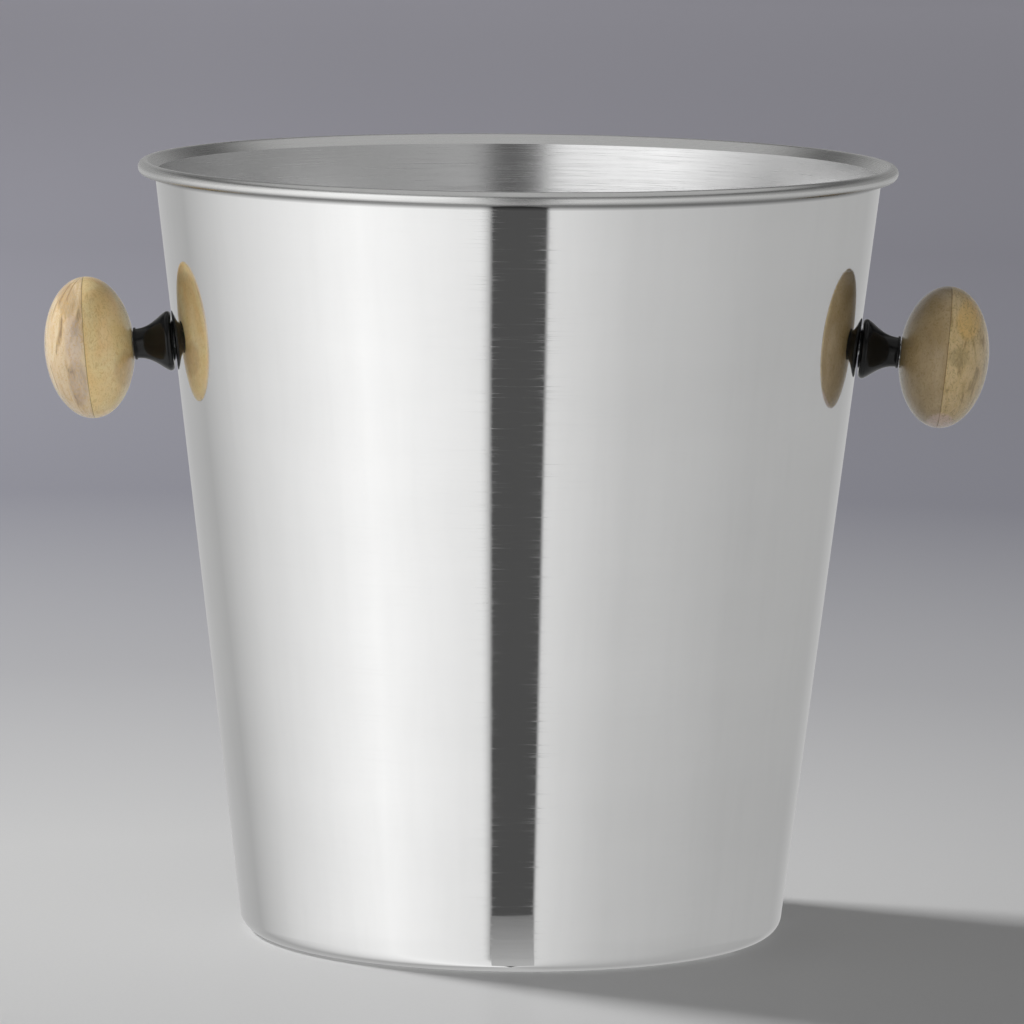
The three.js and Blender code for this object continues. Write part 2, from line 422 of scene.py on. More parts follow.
def steel_material(name, colour, roughness, line_scale, line_depth, crease=0.0, scratched=0.0):
    """Polished or satin steel whose fine finishing lines run round the bucket.

    scratched is how much rougher the fine scratches are than the polish.
    crease is how much painted shade darkens the metal's colour in the crease under the rim's bead.
    """
    material, tree, shader = new_material(name)
    shader.inputs["Metallic"].default_value = 1.0
    cloud = stretched_noise(tree, STEEL_CLOUD_GRAIN, detail=4)
    base = colour_ramp(tree, cloud, [(0.3, [c * STEEL_CLOUD_TONE for c in colour]), (0.7, colour)])
    streaks = stretched_noise(tree, STREAK_GRAIN, detail=3)
    base = mix_colour(tree, remap(tree, streaks, 0, STREAK_AMOUNT, 0.45, 0.75), base, STREAK_COLOUR)
    # Painted shade: darkens the metal's colour in a band round the crease where the rim's curl
    # meets the wall
    if crease:
        height = math_node(tree, "MULTIPLY", object_axes(tree)["Z"], 1 / MM)
        near = remap(tree, height, 0, crease, CREASE_HEIGHT - CREASE_SHADE_SPREAD, CREASE_HEIGHT)
        far = remap(tree, height, 1, 0, CREASE_HEIGHT, CREASE_HEIGHT + CREASE_SHADE_SPREAD)
        base = mix_colour(tree, math_node(tree, "MULTIPLY", near, far), base, CREASE_SHADE_COLOUR)
    tree.links.new(base, shader.inputs["Base Color"])
    lines = stretched_noise(tree, (LINE_GRAIN, LINE_GRAIN, line_scale), detail=2)
    scratches = remap(tree, stretched_noise(tree, SCRATCH_GRAIN, detail=2), 0, 1, 0.58, 0.76)
    marks = math_node(tree, "ADD", lines, math_node(tree, "MULTIPLY", scratches, SCRATCH_SHARE))
    even = remap(tree, marks, *roughness, 0.25, 0.95)
    rougher = math_node(tree, "MULTIPLY", scratches, scratched)
    tree.links.new(math_node(tree, "ADD", even, rougher), shader.inputs["Roughness"])
    tree.links.new(bump(tree, marks, line_depth), shader.inputs["Normal"])
    return material


def plain_gloss(name, colour, roughness, specular=0.5):
    """A small part's plain finish, with a faint tint and a fine grain."""
    material, tree, shader = new_material(name)
    tint = stretched_noise(tree, (TINT_GRAIN,) * 3, detail=4)
    tree.links.new(
        colour_ramp(tree, tint, [(0.3, [c * TINT_TONE for c in colour]), (0.7, colour)]),
        shader.inputs["Base Color"],
    )
    rough = stretched_noise(tree, (FINE_GRAIN,) * 3, detail=3)
    tree.links.new(remap(tree, rough, *roughness, 0.3, 0.7), shader.inputs["Roughness"])
    tree.links.new(bump(tree, rough, GLOSS_RELIEF), shader.inputs["Normal"])
    shader.inputs["Specular IOR Level"].default_value = specular
    return material


def knob_coordinates(tree, side):
    """How far a point lies outward along a knob's axis, up and to the front, 1 at the surface."""
    droop = math.radians(KNOB_DROOP)
    centre = (side * KNOB_CENTRE_RADIUS * MM, 0, KNOB_AXIS_HEIGHT * MM)
    relative = add_node(tree, "ShaderNodeVectorMath", operation="SUBTRACT")
    tree.links.new(object_place(tree), relative.inputs[0])
    relative.inputs[1].default_value = centre
    directions = (
        (Vector((side * math.cos(droop), 0, -math.sin(droop))), KNOB_HALF_THICKNESS),
        (Vector((side * math.sin(droop), 0, math.cos(droop))), KNOB_RADIUS),
        (Vector((0, -1, 0)), KNOB_RADIUS),
    )
    measured = []
    for direction, reach in directions:
        node = add_node(tree, "ShaderNodeVectorMath", operation="DOT_PRODUCT")
        tree.links.new(relative.outputs[0], node.inputs[0])
        node.inputs[1].default_value = direction / (reach * MM)
        measured.append(node.outputs["Value"])
    return measured


def combined(tree, x, y, z):
    node = add_node(tree, "ShaderNodeCombineXYZ")
    for index, value in enumerate((x, y, z)):
        if isinstance(value, bpy.types.NodeSocket):
            tree.links.new(value, node.inputs[index])
        else:
            node.inputs[index].default_value = value
    return node.outputs[0]


def patch(tree, along, up, centre, size):
    """1 in the middle of an oval patch, falling to 0 at its edge."""
    run = math_node(tree, "MULTIPLY", math_node(tree, "SUBTRACT", along, centre[0]), 1 / size[0])
    rise = math_node(tree, "MULTIPLY", math_node(tree, "SUBTRACT", up, centre[1]), 1 / size[1])
    squares = math_node(
        tree, "ADD", math_node(tree, "MULTIPLY", run, run), math_node(tree, "MULTIPLY", rise, rise)
    )
    return math_node(tree, "SUBTRACT", 1.0, squares, clamp=True)


FIBRES_ROUND, FIBRES_UP = 2.2, 0.9  # how close the fibres lie round a knob and up it
GLUE_WIDTH, GLUE_FADE = 0.004, 0.012  # shares of the knob's half thickness that the line darkens
RIPPLE_SHARE = 0.6  # of a ripple's depth to a fibre's
HORN_ROUGHNESS = (0.10, 0.26)


def horn_material(name, side, look):
    """Polished horn: streaks from pole to pole, fine fibres, cloudy patches and a glue line."""
    material, tree, shader = new_material(name)
    along, up, front = knob_coordinates(tree, side)
    turn = math_node(tree, "ARCTAN2", front, along)
    seed = look["seed"]
    fibres_at = combined(
        tree,
        math_node(tree, "MULTIPLY", turn, FIBRES_ROUND),
        math_node(tree, "MULTIPLY", up, FIBRES_UP),
        seed,
    )
    solid_at = combined(tree, along, up, math_node(tree, "ADD", front, seed))
    cloud = noise_at(tree, solid_at, 1.7, detail=3, distortion=0.6)
    streaks = noise_at(tree, fibres_at, 2.4, detail=5, distortion=0.9)
    fine = noise_at(tree, fibres_at, 16, detail=4, distortion=0.4)
    ripple = noise_at(tree, solid_at, 11, detail=3, distortion=2.2)

    inner = colour_ramp(tree, cloud, [(0.3, look["inner"][0]), (0.7, look["inner"][1])])
    dark, middle, pale = look["outer"]
    outer = colour_ramp(tree, streaks, [(0.34, dark), (0.43, middle), (0.58, pale), (0.72, middle)])
    is_outer = remap(tree, along, 0, 1, -GLUE_WIDTH, GLUE_WIDTH)
    base = mix_colour(tree, is_outer, inner, outer)
    for colour, centre, size, strength in look["patches"]:
        brushed = remap(tree, fine, 0.6 * strength, strength, 0.35, 0.6)
        inside = remap(tree, patch(tree, along, up, centre, size), 0, 1, 0, 0.5)
        base = mix_colour(tree, math_node(tree, "MULTIPLY", inside, brushed), base, colour)
    base = mix_colour(tree, remap(tree, ripple, 0.0, 0.55, 0.5, 0.66), base, look["vein"])
    base = mix_colour(tree, remap(tree, fine, 0.0, 0.3, 0.54, 0.76), base, look["fibre"])
    distance = math_node(tree, "ABSOLUTE", along)
    glue = remap(tree, distance, look["glue_strength"], 0, GLUE_WIDTH, GLUE_FADE)
    base = mix_colour(tree, glue, base, look["glue"])
    tree.links.new(base, shader.inputs["Base Color"])

    relief = math_node(tree, "ADD", fine, math_node(tree, "MULTIPLY", ripple, RIPPLE_SHARE))
    tree.links.new(remap(tree, relief, *HORN_ROUGHNESS, 0.5, 1.1), shader.inputs["Roughness"])
    tree.links.new(bump(tree, relief, look["relief"]), shader.inputs["Normal"])
    shader.inputs["Subsurface Weight"].default_value = 0.15
    shader.inputs["Subsurface Radius"].default_value = (1.0, 0.6, 0.3)
    shader.inputs["Subsurface Scale"].default_value = 0.0012
    shader.inputs["IOR"].default_value = 1.54
    shader.inputs["Coat Weight"].default_value = 0.3
    shader.inputs["Coat Roughness"].default_value = 0.06
    return material


# Colours run from dark to pale. A patch is a colour, its middle and half size in the knob's own
# coordinates, and its strength.
PALE_HORN = {
    "seed": 3.7,
    "inner": [(0.98, 0.67, 0.29), (1.0, 0.81, 0.42)],
    "outer": [(0.42, 0.28, 0.15), (0.82, 0.60, 0.34), (0.92, 0.74, 0.48)],
    "patches": [
        ((0.46, 0.34, 0.28), (0.22, -0.40), (0.24, 0.40), 0.6),
        ((0.80, 0.64, 0.50), (0.24, 0.2), (0.22, 0.4), 0.8),
        ((0.46, 0.31, 0.17), (0.34, 0.74), (0.26, 0.24), 0.6),
        ((0.56, 0.36, 0.16), (-0.8, -0.3), (0.25, 0.3), 0.45),
    ],
    "vein": (0.74, 0.48, 0.18),
    "fibre": (0.50, 0.33, 0.17),
    "glue": (0.50, 0.33, 0.15),
    "glue_strength": 0.6,
    "relief": 0.00006,
}
DARK_HORN = {
    "seed": 11.3,
    "inner": [(0.42, 0.30, 0.145), (0.54, 0.40, 0.21)],
    "outer": [(0.44, 0.31, 0.13), (0.66, 0.48, 0.22), (0.74, 0.56, 0.29)],
    "patches": [
        ((0.80, 0.54, 0.20), (0.42, 0.62), (0.32, 0.30), 1.0),
        ((0.80, 0.60, 0.50), (0.05, -0.9), (0.35, 0.2), 0.9),
        ((0.34, 0.27, 0.11), (0.25, 0.1), (0.26, 0.16), 0.5),
    ],
    "vein": (0.32, 0.22, 0.07),
    "fibre": (0.26, 0.18, 0.08),
    "glue": (0.34, 0.21, 0.1),
    "glue_strength": 0.5,
    "relief": 0.00012,
}

wall_steel = steel_material(
    "wall_steel", (0.90, 0.90, 0.895), (0.025, 0.06), 2600, 0.0000015, crease=0.95, scratched=0.13
)
inside_steel = steel_material("inside_steel", (0.88, 0.88, 0.88), (0.18, 0.28), 3000, 0.000008)
rim_steel = steel_material(
    "rim_steel", (0.90, 0.90, 0.89), (0.24, 0.32), 5000, 0.000004, crease=0.9
)
screw_steel = steel_material("screw_steel", (0.72, 0.73, 0.74), (0.2, 0.32), 3000, 0.00001)
brass = plain_gloss("insert_brass", (0.76, 0.6, 0.3), (0.3, 0.45))
brass.node_tree.nodes["Principled BSDF"].inputs["Metallic"].default_value = 1.0
black = plain_gloss("black_collar", (0.006, 0.006, 0.006), (0.08, 0.16), specular=0.3)
rubber = plain_gloss("seal_rubber", (0.02, 0.02, 0.02), (0.6, 0.8))
horn = {
    "left": horn_material("pale_horn", SIDES["left"], PALE_HORN),
    "right": horn_material("dark_horn", SIDES["right"], DARK_HORN),
}


# ---------------------------------------------------------------- bucket

OUTER_WALL, INNER_FACE, RIM = 0, 1, 2


def shell_midline():
    """The sheet's middle, from the base's centre to the curl's edge, and where the wall ends."""
    half = SHEET / 2
    taper = math.atan(WALL_SPREAD)
    inset = half / math.cos(taper)
    corner = (wall_radius(CORNER_RADIUS) - CORNER_RADIUS / math.cos(taper), CORNER_RADIUS)
    bead = (BEAD_RING_RADIUS, BUCKET_HEIGHT - BEAD_RADIUS)
    curl_radius = BEAD_RADIUS - half
    lean = math.radians(FLARE_ANGLE)
    curl_start = (bead[0] - curl_radius * math.sin(lean), bead[1] + curl_radius * math.cos(lean))
    run = curl_start[0] - (wall_radius(curl_start[1]) - inset)
    flare_foot_height = curl_start[1] - run / (math.tan(lean) - WALL_SPREAD)
    flare_foot = (wall_radius(flare_foot_height) - inset, flare_foot_height)

    raised, standing = BASE_RECESS + half, half
    step_middle = RECESS_RADIUS + RECESS_SLOPE / 2
    step_end = (RECESS_RADIUS + RECESS_SLOPE, standing)
    points = [(0, raised)]
    points += line(points[-1], (RECESS_RADIUS, raised), BASE_STEPS)
    points += bezier(
        points[-1], (step_middle, raised), (step_middle, standing), step_end, RECESS_STEPS
    )
    points += line(points[-1], (corner[0], standing), RING_STEPS)
    points += arc(corner, CORNER_RADIUS - half, -90, -math.degrees(taper), CORNER_STEPS)[1:]
    points += line(points[-1], flare_foot, WALL_ROWS)
    wall_end = len(points) - 1
    points += arc(bead, curl_radius, 180 - FLARE_ANGLE, CURL_END_ANGLE, CURL_STEPS)
    return points, wall_end


def shell_mesh():
    midline, wall_end = shell_midline()
    outer = offset(midline, SHEET / 2)
    inner = offset(midline, -SHEET / 2)
    outer[0] = (0, outer[0][1])
    inner[0] = (0, inner[0][1])
    outline = outer + inner[::-1]
    count = len(midline)

    def material_of(stretch):
        along = stretch if stretch < count else 2 * count - 2 - stretch
        if along >= wall_end:
            return RIM
        return OUTER_WALL if stretch < count else INNER_FACE

    blank = lathe("bucket_shell", outline, SHELL_SEGMENTS, material_of)
    drills = []
    for side in SIDES.values():
        drill = lathe("drill", [
            (0, -DRILL_REACH), (CLEARANCE_RADIUS, -DRILL_REACH),
            (CLEARANCE_RADIUS, DRILL_REACH), (0, DRILL_REACH),
        ], DRILL_SEGMENTS)
        drill.transform(knob_matrix(side))
        drills.append(drill)
    mesh = cut_out(blank, drills)
    hand_finish(mesh)
    smooth(mesh)
    return mesh


def hand_finish(mesh):
    """Lets the wall stray a little from a true cone, as drawn and polished sheet does."""
    for vertex in mesh.vertices:
        x, y, z = (c / MM for c in vertex.co)
        radius = math.hypot(x, y)
        if abs(radius - wall_radius(z)) > WALL_NEAR:
            continue
        above_foot, below_rim = z - CORNER_RADIUS, BUCKET_HEIGHT - WAVE_END - z
        strength = max(0.0, min(1.0, above_foot / WAVE_FADE, below_rim / WAVE_FADE))
        wave = noise.noise(Vector((x / WAVE_ACROSS, y / WAVE_ACROSS, z / WAVE_ALONG)))
        radial = Vector((x, y, 0)) / radius
        vertex.co += radial * wave * strength * WAVE_DEPTH * MM


add_piece(
    "polished_shell", shell_mesh(), "bucket_shell", "bucket_steel",
    [wall_steel, inside_steel, rim_steel],
)


# ---------------------------------------------------------------- knobs

KNOB_SEGMENTS = 128
ROUND_SEGMENTS = 96
OUTER_DOME_STEPS = 40
INNER_DOME_STEPS = 36
FLANGE_RIM_STEPS = 14
SWEEP_STEPS = 22
HEAD_STEPS = 10
EDGE_STEPS = 4


def rounded_ring(inner, outer, start, end, edge):
    """Closed outline of a ring between two radii and two heights, with rounded corners."""
    corners = [
        ((inner + edge, start + edge), 180, 270),
        ((outer - edge, start + edge), 270, 360),
        ((outer - edge, end - edge), 0, 90),
        ((inner + edge, end - edge), 90, 180),
    ]
    outline = []
    for centre, first, last in corners:
        outline += arc(centre, edge, first, last, EDGE_STEPS)
    return outline


def flat_ring(name, inner, outer, start, end, edge):
    """A flat ring with rounded corners, between two heights along a knob's axis."""
    outline = rounded_ring(inner, outer, start, end, edge)
    return lathe(name, outline, ROUND_SEGMENTS, closed=True)


def dome(first, last, steps):
    """Points on the knob's lens between two angles from its outer pole, in degrees."""
    middle = wall_to_knob()
    points = []
    for step in range(steps + 1):
        angle = math.radians(first + (last - first) * step / steps)
        height = middle + KNOB_HALF_THICKNESS * math.cos(angle)
        points.append((KNOB_RADIUS * math.sin(angle), height))
    return points


def glue_edge_angle():
    """From the outer pole to where the outer half's rounded edge begins, in degrees."""
    return math.degrees(math.acos((GLUE_GAP / 2 + GLUE_EDGE) / KNOB_HALF_THICKNESS))


def outer_half(name):
    glue_face = wall_to_knob() + GLUE_GAP / 2
    points = [(0, glue_face), (KNOB_RADIUS / 2, glue_face), (KNOB_RADIUS - GLUE_EDGE, glue_face)]
    points += dome(glue_edge_angle(), 0, OUTER_DOME_STEPS)
    points[-1] = (0, points[-1][1])
    return lathe(name, points, KNOB_SEGMENTS)


def inner_half(name):
    glue_face = wall_to_knob() - GLUE_GAP / 2
    seat_angle = 180 - math.degrees(math.asin(SEAT_RADIUS / KNOB_RADIUS))
    bore_end = seat_face() + INSERT_BORE_DEPTH
    points = [(0, bore_end), (INSERT_BORE_RADIUS, bore_end), (INSERT_BORE_RADIUS, seat_face())]
    points += dome(seat_angle, 180 - glue_edge_angle(), INNER_DOME_STEPS)
    points += [(KNOB_RADIUS - GLUE_EDGE, glue_face), (KNOB_RADIUS / 2, glue_face), (0, glue_face)]
    return lathe(name, points, KNOB_SEGMENTS)


def threaded_insert(name):
    start = seat_face()
    end = start + INSERT_LENGTH
    return flat_ring(name, CLEARANCE_RADIUS, INSERT_RADIUS, start, end, INSERT_EDGE)


def collar(name):
    start = FLANGE_STAND_OFF
    recess_floor = FIT_GAP * 2 + GASKET_THICKNESS
    end = seat_face() - FIT_GAP
    rim = (FLANGE_RADIUS - FLANGE_RIM_RADIUS, start + FLANGE_RIM_RADIUS)
    neck_start = end - LIP_LENGTH
    outline = [(CLEARANCE_RADIUS, recess_floor), (FLANGE_RECESS_RADIUS, recess_floor)]
    outline += [(FLANGE_RECESS_RADIUS, start)]
    outline += arc(rim, FLANGE_RIM_RADIUS, -90, FLANGE_RIM_END, FLANGE_RIM_STEPS)
    outline += bezier(
        outline[-1],
        (rim[0], rim[1] + FLANGE_RIM_RADIUS * SWEEP_LEAVING),
        (NECK_RADIUS, rim[1] + (neck_start - rim[1]) * SWEEP_ARRIVING),
        (NECK_RADIUS, neck_start),
        SWEEP_STEPS,
    )
    lip_radius = LIP_RADIUS - LIP_EDGE
    outline += arc((lip_radius, neck_start + LIP_EDGE), LIP_EDGE, -90, 0, EDGE_STEPS)
    outline += arc((lip_radius, end - LIP_EDGE), LIP_EDGE, 0, 90, EDGE_STEPS)
    outline += [(CLEARANCE_RADIUS, end)]
    return lathe(name, outline, ROUND_SEGMENTS, closed=True)


def outer_gasket(name):
    end = FIT_GAP + GASKET_THICKNESS
    return flat_ring(name, CLEARANCE_RADIUS, GASKET_RADIUS, FIT_GAP, end, GASKET_EDGE)


def seal_face():
    return -(SHEET + CURVED_FIT_GAP)


def seal_washer(name):
    start = seal_face() - SEAL_THICKNESS
    return flat_ring(name, CLEARANCE_RADIUS, SEAL_RADIUS, start, seal_face(), SEAL_EDGE)


def washer_face():
    return seal_face() - SEAL_THICKNESS - FIT_GAP


def inner_washer(name):
    start = washer_face() - WASHER_THICKNESS
    return flat_ring(name, CLEARANCE_RADIUS, WASHER_RADIUS, start, washer_face(), WASHER_EDGE)


def knob_screw(name):
    head_face = washer_face() - WASHER_THICKNESS - FIT_GAP
    head_top = head_face - HEAD_HEIGHT
    edge = HEAD_HEIGHT / 2
    outline = [(0, head_top)]
    outline += arc((HEAD_RADIUS - edge, head_top + edge), edge, -90, 0, HEAD_STEPS)
    outline += [(HEAD_RADIUS, head_face), (SHANK_RADIUS, head_face)]
    outline += [(SHANK_RADIUS, SCREW_REACH - SHANK_RADIUS / 2), (SHANK_RADIUS / 2, SCREW_REACH)]
    outline += [(0, SCREW_REACH)]
    slots = []
    for turn in (0, math.pi / 2):
        half_length, half_width = HEAD_RADIUS * SLOT_REACH * MM, SLOT_WIDTH / 2 * MM
        low, high = (head_top - SLOT_DEPTH) * MM, (head_top + SLOT_DEPTH) * MM
        corners = [(x, y, z) for x in (-half_length, half_length)
                   for y in (-half_width, half_width) for z in (low, high)]
        slot = bpy.data.meshes.new("slot")
        slot.from_pydata(corners, [], [
            (0, 1, 3, 2), (4, 6, 7, 5), (0, 4, 5, 1), (2, 3, 7, 6), (0, 2, 6, 4), (1, 5, 7, 3),
        ])
        slot.transform(Matrix.Rotation(turn, 4, "Z"))
        slots.append(slot)
    return cut_out(lathe(name, outline, ROUND_SEGMENTS), slots)


KNOB_PIECES = [
    ("knob_outer_half", outer_half, "horn", horn),
    ("knob_inner_half", inner_half, "horn", horn),
    ("threaded_insert", threaded_insert, "insert_brass", brass),
    ("collar", collar, "black_collar", black),
    ("outer_gasket", outer_gasket, "seal_rubber", rubber),
    ("seal_washer", seal_washer, "seal_rubber", rubber),
    ("inner_washer", inner_washer, "screw_steel", screw_steel),
    ("knob_screw", knob_screw, "screw_steel", screw_steel),
]

for side_name, side in SIDES.items():
    for piece_name, make_mesh, slot_name, material in KNOB_PIECES:
        node_name = f"{side_name}_{piece_name}"
        mesh = make_mesh("fine_" + node_name)
        mesh.transform(knob_matrix(side))
        smooth(mesh)
        finish = material[side_name] if isinstance(material, dict) else material
        add_piece("fine_" + node_name, mesh, node_name, slot_name, [finish])


# ---------------------------------------------------------------- studio

# Lengths are in metres and angles in degrees. The lights, the cards and the light and shade painted
# on the paper were set by comparing renders with the photo.
FLOOR_SIZE = 16.0
FRONT_LEDGE = 0.0384  # how far the dim glowing card seen in the foot of the wall reaches to the front; its glow is a painted reflection of the floor
LEDGE_AT_FOOT = (-0.0041, 0.0076)  # its left and right ends
LEDGE_IN_FRONT = (-0.0089, 0.0138)
LEDGE_LIGHT = (0.2, 0.45)  # how much light it gives, in front and at the foot
LEDGE_HEIGHT = -0.00002  # just under the floor
LEDGE_BANDS = 320  # bands per metre
LEDGE_UNEVEN = 0.15
KEY_AZIMUTH = 120.0  # from the camera's side, round to the left
KEY_ELEVATION = 38.0
KEY_DISTANCE = 2.8
KEY_SIZE = 0.5
KEY_POWER = 58.0
KEY_TARGET_HEIGHT = 0.08
AMBIENT = 0.125  # light from all round on everything that is not mirror-like
FILL = 0.55  # added to it low down, all round
FRONT_FILL = 0.9  # added from low down in front and to the left
FRONT_FILL_HEADINGS = (-115.0, 45.0)
FILL_HEIGHTS = (-8.0, 20.0)
FILL_EDGE, FRONT_FILL_EDGE = 5.0, 20.0  # how softly they end
CEILING = 0.42  # a soft panel straight overhead, seen in the top of the rim
BACKDROP = (0.26, 0.26, 0.31)  # what the camera sees past the floor

# The studio round the bucket: a wide soft panel on the left, a dimmer one on the right and a dark
# gap between them where the camera looks through. Headings are in degrees from the camera's side,
# to the left below zero, each with the light that comes from there.
CARDS = [
    (-180, 0.54), (-135, 0.42), (-105, 0.7), (-52, 1.05), (-10, 0.86),
    (-9.5, 0.55), (-8.2, 0.55), (-7.9, 0.08), (10.6, 0.08), (11, 0.7),
    (13, 0.75), (40, 0.58), (90, 0.46), (150, 0.42), (180, 0.54),
]
LOW_CARD_SHARE = 0.93  # share of light from the foot of the cards
LOW_CARD_START, LOW_CARD_END = -23.7, -20.0  # elevations between which it rises to the whole
SKY_LEVEL = 0.14  # share of the cards' light that comes from high above
SKY_START, SKY_FULL = 14.0, 34.0  # elevations over which the cards end
CEILING_START = 47.0  # elevation above which only the ceiling panel is seen
RIGHT_CARD_HIGH = 0.6  # share of light from the upper part of the right-hand cards
LEFT_CARD_HIGH = 1.12
SIDE_CARD_HIGH = 0.72  # the same for the cards far round to the left
HIGH_SPAN = 0.06  # sine of the elevation over which the upper part takes over
RIGHT_HEADINGS = (-2, 12)  # headings over which the left-hand cards give way to the right-hand ones
SIDE_HEADINGS = (-88, -48)  # the same from the cards far round to those on the left

# Light and shade painted on the paper: how pale it is, by its distance from the bucket in metres
PAINTED_FLOOR_LIGHT = [
    (0.15, (0.75, 0.75, 0.75)), (0.5, (0.5, 0.5, 0.52)), (1.0, (0.3, 0.3, 0.345)),
    (2.1, (0.41, 0.405, 0.465)), (4.3, (0.9, 0.885, 1.0)),
]
PAINTED_POOL_SHIFT = 0.06  # how far to the left the painted pool of light lies
PAINTED_SHADE_ACROSS = 0.3  # painted shade makes the paper dimmer to the right, from this far left to this far right
PAINTED_SHADE_AWAY = (0.6, 1.4)  # distances over which that sets in
PAINTED_SHADE_TONE = (0.86, 0.86, 0.86)
GRAIN_AMOUNT = 0.06
GRAIN_TONE = (0.5, 0.5, 0.5)
PAPER_GLOSS, PAPER_ROUGHNESS = 0.05, 0.22


def floor_material(name):
    """Pale paper with a painted pool of light round the bucket and painted shade falling off to
    grey behind it.
    """
    material, tree, shader = new_material(name)
    moved = add_node(tree, "ShaderNodeMapping")
    moved.inputs["Location"].default_value = (PAINTED_POOL_SHIFT, 0.0, 0.0)
    tree.links.new(object_place(tree), moved.inputs["Vector"])
    length = add_node(tree, "ShaderNodeVectorMath", operation="LENGTH")
    tree.links.new(moved.outputs["Vector"], length.inputs[0])
    # Painted light and shade: the paper's colour is paler in a pool round the bucket and falls off
    # with distance
    farthest = PAINTED_FLOOR_LIGHT[-1][0]
    away = remap(tree, length.outputs["Value"], 0, 1, 0, farthest)
    colour = colour_ramp(tree, away, [(metres / farthest, paper) for metres, paper in PAINTED_FLOOR_LIGHT])
    # Painted shade: the far paper is darkened toward the right
    dimming = remap(tree, object_axes(tree)["X"], 0, 1, -PAINTED_SHADE_ACROSS, PAINTED_SHADE_ACROSS)
    distant = remap(tree, length.outputs["Value"], 0, 1, *PAINTED_SHADE_AWAY)
    dimmed = math_node(tree, "MULTIPLY", dimming, distant)
    colour = mix_colour(tree, dimmed, colour, PAINTED_SHADE_TONE, blend="MULTIPLY")
    grain = noise_at(tree, object_place(tree), FINE_GRAIN, detail=2)
    colour = mix_colour(tree, remap(tree, grain, 0, GRAIN_AMOUNT, 0.3, 0.7), colour, GRAIN_TONE)
    diffuse = add_node(tree, "ShaderNodeBsdfDiffuse")
    tree.links.new(colour, diffuse.inputs["Color"])
    gloss = add_node(tree, "ShaderNodeBsdfGlossy")
    gloss.inputs["Roughness"].default_value = PAPER_ROUGHNESS
    both = add_node(tree, "ShaderNodeMixShader")
    both.inputs[0].default_value = PAPER_GLOSS
    tree.links.new(diffuse.outputs[0], both.inputs[1])
    tree.links.new(gloss.outputs[0], both.inputs[2])
    tree.links.new(both.outputs[0], tree.nodes["Material Output"].inputs["Surface"])
    tree.nodes.remove(shader)
    return material


def ledge_card(name, front, foot):
    """A dim glowing card in front of the foot, banded and lighter toward the bucket: painted light
    that stands in for the floor seen in the foot of the wall.
    """
    material, tree, shader = new_material(name)
    depth = object_axes(tree)["Y"]
    bands = noise_at(tree, combined(tree, 0.0, depth, 0.0), LEDGE_BANDS, detail=3)
    even = remap(tree, depth, 0, 1, front, foot)
    nearness = math_node(tree, "ADD", even, remap(tree, bands, -LEDGE_UNEVEN, LEDGE_UNEVEN))
    dim, bright = LEDGE_LIGHT
    light = colour_ramp(tree, nearness, [(0.0, (dim,) * 3), (1.0, (bright,) * 3)])
    emission = add_node(tree, "ShaderNodeEmission")
    tree.links.new(light, emission.inputs["Color"])
    tree.links.new(emission.outputs[0], tree.nodes["Material Output"].inputs["Surface"])
    tree.nodes.remove(shader)
    return material


def flat_piece(name, corners, height, material):
    """A flat four-sided piece of the stage."""
    mesh = bpy.data.meshes.new(name)
    mesh.from_pydata([(x, y, height) for x, y in corners], [], [(0, 1, 2, 3)])
    piece = add_object(name, mesh, [material])
    return piece


reach = FLOOR_SIZE / 2
floor_corners = [(-reach, -reach), (reach, -reach), (reach, reach), (-reach, reach)]
wide_floor = flat_piece("floor", floor_corners, 0.0, floor_material("floor_paper_painted_light"))
wide_floor.visible_glossy = False
foot_front = -FOOT_RADIUS * MM
ledge_front = foot_front - FRONT_LEDGE
# Painted reflection: a glowing card just under the floor, hidden from the camera, from diffuse
# light and from shadows, stands in for the floor seen in the foot of the wall
ledge_glow_card = flat_piece(
    "ledge_glow_card",
    [
        (LEDGE_IN_FRONT[0], ledge_front), (LEDGE_IN_FRONT[1], ledge_front),
        (LEDGE_AT_FOOT[1], foot_front), (LEDGE_AT_FOOT[0], foot_front),
    ],
    LEDGE_HEIGHT,
    ledge_card("ledge_card", ledge_front, foot_front),
)
ledge_glow_card.visible_camera = False
ledge_glow_card.visible_diffuse = False
ledge_glow_card.visible_shadow = False


def window(tree, angle, start, end, soft):
    """1 between two angles in degrees, falling to 0 over a soft edge outside them."""
    opening = remap(tree, angle, 0, 1, math.radians(start - soft), math.radians(start))
    closing = remap(tree, angle, 1, 0, math.radians(end), math.radians(end + soft))
    return math_node(tree, "MULTIPLY", opening, closing)


def between_heights(tree, height, low, high, start, end):
    """Goes from low to high over two elevations in degrees. height is a direction's Z."""
    return remap(tree, height, low, high, *(math.sin(math.radians(e)) for e in (start, end)))


def between_headings(tree, heading, low, high, headings):
    """Goes from low to high over two headings in degrees."""
    return remap(tree, heading, low, high, *(math.radians(h) for h in headings))


